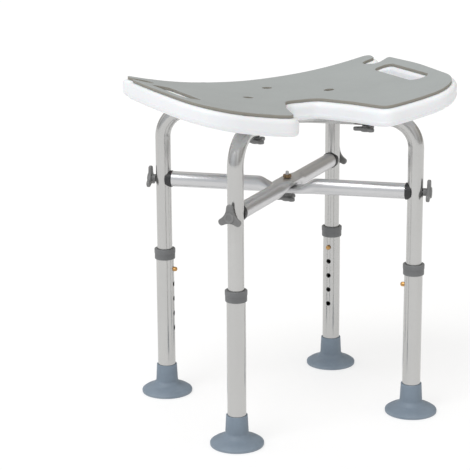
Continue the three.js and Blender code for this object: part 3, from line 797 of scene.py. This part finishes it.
def bar_length(node, way, radius):
    """The length of a round bar along `way`, from its box."""
    if abs(way.z) > 0.5:
        return size(node).z
    return (size(node).x - 2 * radius * abs(way.y)) / abs(way.x)


def add_knob(name, body, hub, place, looks):
    """A knob and its stud at one place, standing for the CAD's knob and stud."""
    knob, stud = f"{name}_knob", f"{name}_stud"
    top = hub + KNOB_BORE - CLEARANCE
    reach = bar_length(stud, place.to_3x3() @ Vector((0, 0, 1)), STUD_R) - top
    made = add(f"visible_{knob}", knob_mesh(hub), place)
    finished(made, body, looks["knob"], knob)
    made = add(f"visible_{stud}", stud_mesh(reach, top), place)
    finished(made, body, looks["steel"], stud)


def knob_below(name):
    """The place of a knob that hangs with its hub up: upside down at the top of its box."""
    spot = middle(f"{name}_stud")
    return upside_down(Matrix.Translation((spot.x, spot.y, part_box(f"{name}_knob")[1].z)))


def make_fasteners(looks):
    for leg in LEGS:
        axis = leg_place(leg, middle(f"{leg}_brace_plug").z)
        plug = add(f"visible_{leg}_brace_plug", plug_mesh(), sideways(axis))
        leg_r = TUBE_R + CLEARANCE
        leg_space = revolved("leg_space", [(leg_r, -20 * MM), (leg_r, 20 * MM)], FINE_ROUND)
        leg_space.transform(axis)
        bore = revolved("bore", [(STUD_HOLE_R, -40 * MM), (STUD_HOLE_R, 0)], SMALL_ROUND)
        bore.transform(sideways(axis))
        plug = cut(plug, [leg_space, bore])
        finished(plug, "frame", looks["black"], f"{leg}_brace_plug")
        face = sideways(axis @ Matrix.Translation((leg_r, 0, 0)))
        add_knob(f"{leg}_brace", f"{leg}_brace_knob", KNOB_HUB, face, looks)
    for name in ("centre", *LEGS):
        place = knob_below(f"seat_{name}")
        add_knob(f"seat_{name}", f"seat_{name}_knob", SEAT_KNOB_HUB, place, looks)
    add_knob("brace_centre", "brace_centre_knob", KNOB_HUB, knob_below("brace_centre"), looks)
    low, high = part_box("brace_nut")
    place = Matrix.Translation((CENTRE.x, CENTRE.y, low.z)) @ Matrix.Rotation(math.pi / 6, 4, "Z")
    nut = add("visible_brace_nut", nut_mesh(high.y - low.y, high.z - low.z), place)
    finished(nut, "frame", looks["brass"], "brace_nut")


# ---------- seat shell and pad ----------

DISH_RISE = 31 * MM
DISH_HALF = 228 * MM
RIM = 8.5 * MM
SHELL_THICKNESS = 27 * MM
PAD_THICKNESS = 5 * MM
PAD_TOP_Z = 514.5 * MM
SHELL_TOP_Z = PAD_TOP_Z - PAD_THICKNESS - CLEARANCE
SHELL_BOTTOM_Z = SHELL_TOP_Z - SHELL_THICKNESS
TOP_ROUND = 9 * MM
BOTTOM_ROUND = 6 * MM
BOTTOM_DRAFT = 0.3 * MM
SEAM_DROP = 19.5 * MM
SEAM_PROUD = 0.35 * MM
PAD_ROUND = 1.3 * MM
PAD_UNDER_ROUND = 0.6 * MM
PAD_CUT_LEAN = 0.25 * MM
# Right half of the pad's outline in millimetres, counter-clockwise from the cut-out: x, y, corner radius.
PAD_CORNERS = (
    (28, -46, 26), (57, -105, 90), (78, -173, 16), (226, -163, 70), (237, -9, 400), (233, 79, 4.5),
    (203, 67, 11.5), (184, 99, 11.5), (219, 103, 4.5), (225, 130, 13), (56, 148, 400))
# Openings and pits of the seat, also in millimetres from its middle.
SLOT_CENTRE = (199, -17)
SLOT_SIZE = (33, 126)
SLOT_CORNER = 13
DRAINS = ((-72, -6), (0, 71), (72, -6))
VENT_AT = (0, 110)
TACKS = (
    (0, 36), (-118, 40), (118, 40), (-150, -52), (150, -52), (-60, 116), (60, 116), (-98, -128),
    (98, -128))
SLOT_RIM = 5 * MM
SLOT_LIP = 5 * MM
SLOT_UNDER_LIP = 3 * MM
SLOT_CHORD = 5 * MM
DRAIN_R = 7 * MM
DRAIN_PAD_R = 8 * MM
DRAIN_LIP = 1.2 * MM
DRAIN_SIDES = 28
GRID_STEP = 7 * MM
CHANNEL_HALF = TUBE_R * FLAT_WIDENING + 1 * MM
CHANNEL_TOP_Z = 496.8 * MM
CROSSING_R = 27 * MM
CUTTER_REACH = 30 * MM


def dish(x):
    return DISH_RISE * (x / DISH_HALF) ** 2


def seat_corners():
    right = [(x * MM, y * MM, r * MM) for x, y, r in PAD_CORNERS]
    left = [(-x, y, r) for x, y, r in reversed(right)]
    return right + left


def slot_corners(side):
    x, y = SLOT_CENTRE
    w, h = SLOT_SIZE[0] / 2, SLOT_SIZE[1] / 2
    spots = ((-w, -h), (w, -h), (w, h), (-w, h))
    return [((side * x + dx) * MM, (y + dy) * MM, SLOT_CORNER * MM) for dx, dy in spots]


def inside(points, loop):
    """Which points lie inside a closed loop, by counting crossings."""
    px, py = points[:, 0], points[:, 1]
    ring = np.array([(v.x, v.y) for v in loop])
    x0, y0 = ring[:, 0][:, None], ring[:, 1][:, None]
    x1, y1 = np.roll(ring[:, 0], -1)[:, None], np.roll(ring[:, 1], -1)[:, None]
    spans = (y0 > py) != (y1 > py)
    rise = np.where(np.abs(y1 - y0) < 1e-12, 1e-12, y1 - y0)
    crosses = spans & (px < (x1 - x0) * (py - y0) / rise + x0)
    return crosses.sum(0) % 2 == 1


def sheet_faces(border, holes):
    """Triangles filling a border with holes: returns extra inner points and triples over all points."""
    loops = [border, *holes]
    flat = [v for loop in loops for v in loop]
    xs = np.array([v.x for v in border])
    ys = np.array([v.y for v in border])
    grid = np.array([(x, y) for x in np.arange(xs.min(), xs.max(), GRID_STEP)
                     for y in np.arange(ys.min(), ys.max(), GRID_STEP)])
    keep = inside(grid, border)
    for hole in holes:
        keep &= ~inside(grid, hole)
    grid = grid[keep]
    edge = np.array([(v.x, v.y) for v in flat])
    gaps = np.sqrt(((grid[:, None, :] - edge[None]) ** 2).sum(2)).min(1)
    grid = grid[gaps > GRID_STEP * 0.55]
    points = flat + [Vector(p) for p in grid]
    edges, start = [], 0
    for loop in loops:
        edges += [(start + i, start + (i + 1) % len(loop)) for i in range(len(loop))]
        start += len(loop)
    verts, _, faces, _, _, _ = delaunay_2d_cdt(points, edges, [], 0, 1e-7)
    assert len(verts) == len(points), "the outline crosses itself"
    hearts = np.array([sum((verts[i] for i in face), Vector((0, 0))) / 3 for face in faces])
    wanted = inside(hearts, border)
    for hole in holes:
        wanted &= ~inside(hearts, hole)
    return points[len(flat):], [tuple(f) for f, w in zip(faces, wanted) if w]


def slab_mesh(name, rim_rings, hole_sets):
    """A closed dished slab. `rim_rings` lists (outline points, height) from top to bottom, and
    `hole_sets` has such a list for each opening. Heights are those of the slab before it is dished."""
    verts, faces = [], []

    def put(points, z):
        start = len(verts)
        verts.extend(Vector((p.x, p.y, z + dish(p.x))) for p in points)
        return start

    walls = []
    for rings in [rim_rings, *hole_sets]:
        starts = [put(points, z) for points, z in rings]
        count = len(rings[0][0])
        for a, b in zip(starts[:-1], starts[1:]):
            faces.extend((a + i, a + (i + 1) % count, b + (i + 1) % count, b + i) for i in range(count))
        walls.append((starts[0], starts[-1], count))
    for end in (0, -1):
        border = rim_rings[end][0]
        holes = [rings[end][0] for rings in hole_sets]
        extra, triples = sheet_faces(border, holes)
        numbers = []
        for start, stop, count in walls:
            first = start if end == 0 else stop
            numbers += list(range(first, first + count))
        more = put(extra, rim_rings[end][1])
        numbers += list(range(more, more + len(extra)))
        faces.extend(tuple(numbers[i] for i in triple) for triple in triples)
    return mesh_of(name, verts, faces)


def rounded_drop(radius, steps, top):
    """(inset, height) along a quarter round edge, from the flat top face to the wall."""
    made = []
    for k in range(steps + 1):
        angle = QUARTER * k / steps
        made.append((radius * (1 - math.sin(angle)), top - radius * (1 - math.cos(angle))))
    return made


def rounded_rise(radius, steps, bottom):
    """The same edge at the underside: from the wall to the flat bottom face."""
    return [(inset, 2 * bottom - height) for inset, height in rounded_drop(radius, steps, bottom)[::-1]]


def shell_section():
    """The rim's section as (inset, height): round top, drafted wall with a fine seam, round bottom."""
    seam = SHELL_TOP_Z - SEAM_DROP
    wall = [(0.15 * MM, seam + 2.5 * MM), (0.25 * MM, seam + 0.5 * MM),
            (0.25 * MM - SEAM_PROUD, seam), (0.3 * MM, seam - 0.5 * MM)]
    lower = [(inset + BOTTOM_DRAFT, height)
             for inset, height in rounded_rise(BOTTOM_ROUND, 6, SHELL_BOTTOM_Z)]
    return rounded_drop(TOP_ROUND, 8, SHELL_TOP_Z) + wall + lower


def slot_rings(side, section, grow):
    """Rings of a handle slot: each (inset, height) of the section, with the slot widened by `grow`."""
    corners = slot_corners(side)
    return [(outline(corners, inset - grow, chord=SLOT_CHORD), z) for inset, z in section]


def drain_rings(spot, section, radius):
    x, y = spot
    return [(circle(radius + inset, DRAIN_SIDES, x * MM, y * MM), z) for inset, z in section]


def make_shell(look):
    corners = seat_corners()
    rim = [(outline(corners, RIM - inset), z) for inset, z in shell_section()]
    lip = rounded_drop(SLOT_LIP, 6, SHELL_TOP_Z) + rounded_rise(SLOT_UNDER_LIP, 5, SHELL_BOTTOM_Z)
    small = rounded_drop(DRAIN_LIP, 4, SHELL_TOP_Z) + rounded_rise(DRAIN_LIP, 4, SHELL_BOTTOM_Z)
    holes = [slot_rings(side, lip, SLOT_RIM) for side in (1, -1)]
    holes += [drain_rings(spot, small, DRAIN_R) for spot in DRAINS]
    mesh = slab_mesh("seat_shell_skin", rim, holes)
    shell = add("visible_seat_shell", mesh, Matrix.Translation(CENTRE))
    return finished(cut(shell, shell_cutters()), "frame", look, "seat_shell")


def channel_cutter(name):
    """A long bar with two rounded top edges, where a hoop lies in the underside."""
    low = SHELL_BOTTOM_Z - CUTTER_REACH
    section = filleted([
        (-CHANNEL_HALF, low, 0), (CHANNEL_HALF, low, 0), (CHANNEL_HALF, CHANNEL_TOP_Z, 6 * MM),
        (-CHANNEL_HALF, CHANNEL_TOP_Z, 6 * MM)], closed=True)
    channel = lofted("channel", [[Vector((x, y, z)) for y, z in section] for x in (-REACH, REACH)])
    channel.transform(diagonal_place(name))
    return channel


def crossing_cutter():
    """A round pocket where the two hoops cross."""
    low, high = SHELL_BOTTOM_Z - CUTTER_REACH, CHANNEL_TOP_Z + 0.2 * MM
    pocket = revolved("pocket", filleted([
        (AXIS_R, low, 0), (CROSSING_R, low, 0), (CROSSING_R, high, 5 * MM), (AXIS_R, high, 0)]), 48)
    pocket.transform(Matrix.Translation(CENTRE))
    return pocket


def socket_cutter(name):
    """The hole of one brass insert."""
    low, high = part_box(f"seat_insert_{name}")
    spot = (low + high) / 2
    r = (high.x - low.x) / 2 + CLEARANCE
    socket = revolved("socket", [(r, low.z - 20 * MM), (r, high.z + CLEARANCE)], SMALL_ROUND)
    socket.transform(Matrix.Translation((spot.x, spot.y, 0)))
    return socket


def round_pit(name, spot, mouth, floor, depth):
    """A tapered blind pit in the underside, its floor rounded."""
    x, y = spot
    level = SHELL_BOTTOM_Z + dish(x * MM)
    pit = revolved(name, filleted([
        (AXIS_R, level - 6 * MM, 0), (mouth, level - 6 * MM, 0), (mouth, level, 0),
        (floor, level + depth, 2 * MM), (AXIS_R, level + depth, 0)]), SMALL_ROUND)
    pit.transform(Matrix.Translation(CENTRE + Vector((x * MM, y * MM, 0))))
    return pit


def shell_cutters():
    """Underside: the hoops' channels and crossing, insert sockets, the vent and tack-off dimples."""
    made = [channel_cutter(name) for name in DIAGONALS]
    made.append(crossing_cutter())
    made += [socket_cutter(name) for name in ("centre", *LEGS)]
    made.append(round_pit("vent", VENT_AT, 3 * MM, 3 * MM, 10 * MM))
    made += [round_pit("tack", spot, 8.5 * MM, 4.5 * MM, 11 * MM) for spot in TACKS]
    return made


def make_pad(face_look, edge_and_shade_look):
    """The foam pad: a die-cut sheet with softly rounded edges that follows the dish."""
    bottom = PAD_TOP_Z - PAD_THICKNESS
    section = rounded_drop(PAD_ROUND, 4, PAD_TOP_Z)
    section += [(PAD_CUT_LEAN, PAD_TOP_Z - PAD_THICKNESS / 2)]
    section += rounded_rise(PAD_UNDER_ROUND, 2, bottom)
    corners = seat_corners()
    rim = [(outline(corners, -inset), z) for inset, z in section]
    holes = [slot_rings(side, section, 0) for side in (1, -1)]
    holes += [drain_rings(spot, section, DRAIN_PAD_R) for spot in DRAINS]
    mesh = slab_mesh("seat_pad_skin", rim, holes)
    pad = add("visible_seat_pad", mesh, Matrix.Translation(CENTRE))
    finished(pad, "frame", face_look, "seat_pad")
    # the side walls get the edge material, whose dark colour is partly the foam's taupe cut edge and partly
    # painted shade
    pad.data.materials.append(edge_and_shade_look)
    for polygon in pad.data.polygons:
        polygon.material_index = 1 if abs(polygon.normal.z) < 0.6 else 0
    return pad


# ---------- CAD nodes that stay: pieces inside the tubes and the seat ----------

def dress_hidden_nodes(looks):
    kinds = {"snap_spring": "steel", "plug_nut": "steel", "seat_insert": "brass"}
    for name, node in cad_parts.items():
        for kind, look in kinds.items():
            if kind in name:
                node.data.materials.clear()
                node.data.materials.append(looks[look])


# ---------- studio ----------

FLOOR_SIZE = 60.0
FLOOR_GLOW = 0.57
HORIZON_LIGHT = 0.5
ZENITH_LIGHT = 1.1
LIGHT_SIDE = Vector((-0.9, -0.35, 0.1))
# Bands of the light from the far side (0) to LIGHT_SIDE (1): position, level, warmth.
LIGHT_BANDS = ((0.0, 0.55, 0.05), (0.2, 0.72, 0.05), (0.34, 1.05, 0.0), (0.46, 0.72, 0.03),
               (0.6, 0.98, 0.0), (0.73, 1.35, -0.01), (0.84, 0.78, 0.0), (1.0, 1.3, -0.03))
KEY_WAY = (0.6, 0.3, -1.0)
KEY_STRENGTH = 1.0
KEY_SPREAD = math.radians(30)
CAMERA_AT = (-1.2443, -2.3674, 1.0049)
CAMERA_AZIMUTH = math.radians(25.9)
CAMERA_ELEVATION = math.radians(15.06)
CAMERA_ROLL = math.radians(-0.38)
CAMERA_LENS = 131.2
CAMERA_SENSOR = 36


def light_bands(g, share):
    """The colour of the light at a share from 0 to 1 of the way towards LIGHT_SIDE."""
    ramp = g.tree.nodes.new("ShaderNodeValToRGB")
    elements = ramp.color_ramp.elements
    while len(elements) < len(LIGHT_BANDS):
        elements.new(0.5)
    for element, (position, level, warmth) in zip(elements, LIGHT_BANDS):
        element.position = position
        element.color = (level * (1 + warmth), level, level * (1 - 1.5 * warmth), 1)
    g.tree.links.new(share, ramp.inputs["Fac"])
    return ramp.outputs["Color"]


def make_world():
    """White behind the stool. As light: brighter overhead and on one side, with soft bands for the tubes."""
    world = bpy.data.worlds.new("studio")
    world.use_nodes = True
    g = Graph(world.node_tree)
    way = g.add("ShaderNodeTexCoord", output="Generated")
    side = LIGHT_SIDE.normalized()
    facing = g.add("ShaderNodeVectorMath", {0: way, 1: side}, "Value", operation="DOT_PRODUCT")
    height = g.add("ShaderNodeSeparateXYZ", {0: way}, "Z")
    light = g.add("ShaderNodeBackground", {
        "Color": light_bands(g, g.spread(facing, -1, 1, 0, 1)),
        "Strength": g.spread(height, 0, 1, HORIZON_LIGHT, ZENITH_LIGHT)})
    white = g.add("ShaderNodeBackground", {"Color": (1, 1, 1, 1)})
    seen = g.add("ShaderNodeLightPath", output="Is Camera Ray")
    both = g.add("ShaderNodeMixShader", {0: seen, 1: light, 2: white})
    g.set(g.tree.nodes["World Output"], {"Surface": both})
    bpy.context.scene.world = world


def make_key_light():
    """A distant wide lamp, so that its shadows are soft."""
    data = bpy.data.lights.new("key", "SUN")
    data.energy = KEY_STRENGTH
    data.angle = KEY_SPREAD
    lamp = bpy.data.objects.new("key", data)
    lamp.rotation_euler = Vector(KEY_WAY).to_track_quat("-Z", "Y").to_euler()
    bpy.context.scene.collection.objects.link(lamp)


def make_studio():
    bpy.context.scene.view_settings.view_transform = "Standard"
    make_world()
    make_key_light()
    half = FLOOR_SIZE / 2
    corners = [(-half, -half, 0), (half, -half, 0), (half, half, 0), (-half, half, 0)]
    floor = add("floor", mesh_of("floor", corners, [(0, 1, 2, 3)]), Matrix.Translation((0, 0, -CLEARANCE)))
    floor.data.materials.append(pale_floor())


def make_camera():
    """The camera stands at the front left, a little above the seat."""
    data = bpy.data.cameras.new("camera")
    data.sensor_width = CAMERA_SENSOR
    data.lens = CAMERA_LENS
    camera = bpy.data.objects.new("camera", data)
    turn = Matrix.Rotation(-CAMERA_AZIMUTH, 4, "Z") @ Matrix.Rotation(QUARTER - CAMERA_ELEVATION, 4, "X")
    turn = turn @ Matrix.Rotation(CAMERA_ROLL, 4, "Z")
    camera.matrix_world = Matrix.Translation(CAMERA_AT) @ turn
    bpy.context.scene.collection.objects.link(camera)
    bpy.context.scene.camera = camera


def main():
    looks = {
        "tube": drawn_tube("anodised_aluminium", (0.515, 0.512, 0.503), 0.19, 0.9),
        "bar": drawn_tube("polished_aluminium", (0.60, 0.60, 0.605), 0.33, 0.9),
        "collar": moulded_plastic("grey_collar", (0.135, 0.138, 0.14), 0.5),
        "knob": moulded_plastic("grey_knob", (0.165, 0.165, 0.164), 0.48),
        "black": moulded_plastic("black_plug", (0.014, 0.014, 0.015), 0.5, edge=2.2),
        "foot": rubber_foot(),
        "steel": metal("zinc_steel", (0.60, 0.60, 0.59), 0.3, 0.25, (0.42, 0.42, 0.41)),
        "brass": metal("dull_brass", (0.30, 0.21, 0.12), 0.42, 0.4, (0.14, 0.10, 0.06)),
        "copper": metal("copper_button", (0.56, 0.32, 0.12), 0.3, 0.2, (0.34, 0.18, 0.08)),
    }
    make_camera()
    make_studio()
    make_shell(white_seat())
    make_pad(foam("grey_foam_skin", (0.325, 0.345, 0.34), 0.0009, 0.00006, 0.25),
             # the pad's side walls: the foam's own taupe cut edge, darkened further as painted shade
             foam("cut_foam_edge_and_painted_shade", (0.27, 0.255, 0.22), 0.0006, 0.0001, 0.4))
    make_diagonals(looks)
    make_legs(looks)
    make_fasteners(looks)
    dress_hidden_nodes(looks)


main()
